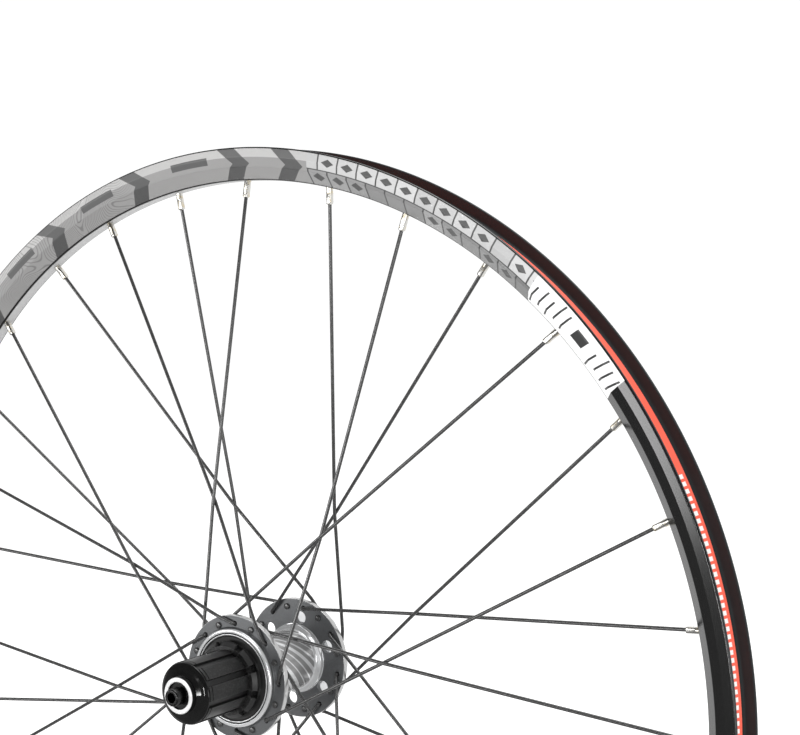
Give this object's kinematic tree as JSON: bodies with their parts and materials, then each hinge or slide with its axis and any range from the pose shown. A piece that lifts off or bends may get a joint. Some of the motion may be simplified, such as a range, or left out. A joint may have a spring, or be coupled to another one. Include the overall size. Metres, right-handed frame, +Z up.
{
  "type": "bicycle wheel",
  "caption": "Rear bicycle wheel without tyre: hollow alloy rim with red tape, crossed black spokes, silver disc-brake hub and splined black driver body",
  "frame": {"origin": "wheel centre, on the axle midway between the two locknut faces", "axes": "+Y along the axle from the drive side to the brake disc side, +X the way the wheel rolls, +Z up"},
  "size_m": [0.5959, 0.146, 0.596],
  "materials": {
    "rim_alloy": "black anodised extrusion with a grey printed field",
    "red_tape": "smooth red plastic strip",
    "black_spoke": "black coated drawn wire",
    "nipple_brass": "nickel plated brass",
    "shell_alloy": "silver grey anodised and polished",
    "hard_steel": "ground hardened steel",
    "spring_steel": "blued spring steel",
    "black_rubber": "matte rubber",
    "bearing_steel": "ground steel with black seals",
    "black_alloy": "satin black anodised",
    "axle_steel": "black oxide steel",
    "plain_alloy": "turned aluminium",
    "black_cap": "glossy black",
    "bright_steel": "bright plated steel"
  },
  "bodies": {
    "axle": {"axle": "axle_steel", "driver_spacer": "plain_alloy", "hub_spacer": "plain_alloy", "drive_end_cap": "black_cap", "disc_end_cap": "black_cap", "drive_locknut": "bright_steel", "disc_locknut": "bright_steel"},
    "wheel": {"rim": "rim_alloy", "rim_tape": "red_tape", "nipples_drive": "nipple_brass", "nipples_disc": "nipple_brass", "hub_shell": "shell_alloy", "ratchet_ring": "hard_steel", "driver_seal": "black_rubber", "drive_hub_bearing": "bearing_steel", "disc_hub_bearing": "bearing_steel", "spoke_drive_outer_1": "black_spoke", "spoke_drive_outer_2": "black_spoke", "spoke_drive_outer_3": "black_spoke", "spoke_drive_outer_4": "black_spoke", "spoke_drive_outer_5": "black_spoke", "spoke_drive_outer_6": "black_spoke", "spoke_drive_outer_7": "black_spoke", "spoke_drive_outer_8": "black_spoke", "spoke_drive_inner_1": "black_spoke", "spoke_drive_inner_2": "black_spoke", "spoke_drive_inner_3": "black_spoke", "spoke_drive_inner_4": "black_spoke", "spoke_drive_inner_5": "black_spoke", "spoke_drive_inner_6": "black_spoke", "spoke_drive_inner_7": "black_spoke", "spoke_drive_inner_8": "black_spoke", "spoke_disc_outer_1": "black_spoke", "spoke_disc_outer_2": "black_spoke", "spoke_disc_outer_3": "black_spoke", "spoke_disc_outer_4": "black_spoke", "spoke_disc_outer_5": "black_spoke", "spoke_disc_outer_6": "black_spoke", "spoke_disc_outer_7": "black_spoke", "spoke_disc_outer_8": "black_spoke", "spoke_disc_inner_1": "black_spoke", "spoke_disc_inner_2": "black_spoke", "spoke_disc_inner_3": "black_spoke", "spoke_disc_inner_4": "black_spoke", "spoke_disc_inner_5": "black_spoke", "spoke_disc_inner_6": "black_spoke", "spoke_disc_inner_7": "black_spoke", "spoke_disc_inner_8": "black_spoke"},
    "driver": {"driver_body": "black_alloy", "outer_driver_bearing": "bearing_steel", "inner_driver_bearing": "bearing_steel", "pawl_spring_1": "spring_steel", "pawl_spring_2": "spring_steel", "pawl_spring_3": "spring_steel"},
    "pawl_1": {"pawl_1": "hard_steel"},
    "pawl_2": {"pawl_2": "hard_steel"},
    "pawl_3": {"pawl_3": "hard_steel"}
  },
  "joints": [
    {"name": "wheel_spin", "type": "hinge", "parent": "axle", "child": "wheel", "pos_m": [0, 0, 0], "axis": [0, 1, 0], "continuous": true},
    {"name": "driver_spin", "type": "hinge", "parent": "axle", "child": "driver", "pos_m": [0, 0, 0], "axis": [0, 1, 0], "continuous": true},
    {"name": "pawl_1_tilt", "type": "hinge", "parent": "driver", "child": "pawl_1", "pos_m": [0, -0.0156, 0.0142], "axis": [0, 1, 0], "range_deg": [0, 15], "stiffness_Nm_per_rad": 0.02, "springref_deg": -11.46, "deforming": ["pawl_spring_1"]},
    {"name": "pawl_2_tilt", "type": "hinge", "parent": "driver", "child": "pawl_2", "pos_m": [-0.0123, -0.0156, -0.0071], "axis": [0, 1, 0], "range_deg": [0, 15], "stiffness_Nm_per_rad": 0.02, "springref_deg": -11.46, "deforming": ["pawl_spring_2"]},
    {"name": "pawl_3_tilt", "type": "hinge", "parent": "driver", "child": "pawl_3", "pos_m": [0.0123, -0.0156, -0.0071], "axis": [0, 1, 0], "range_deg": [0, 15], "stiffness_Nm_per_rad": 0.02, "springref_deg": -11.46, "deforming": ["pawl_spring_3"]}
  ]
}
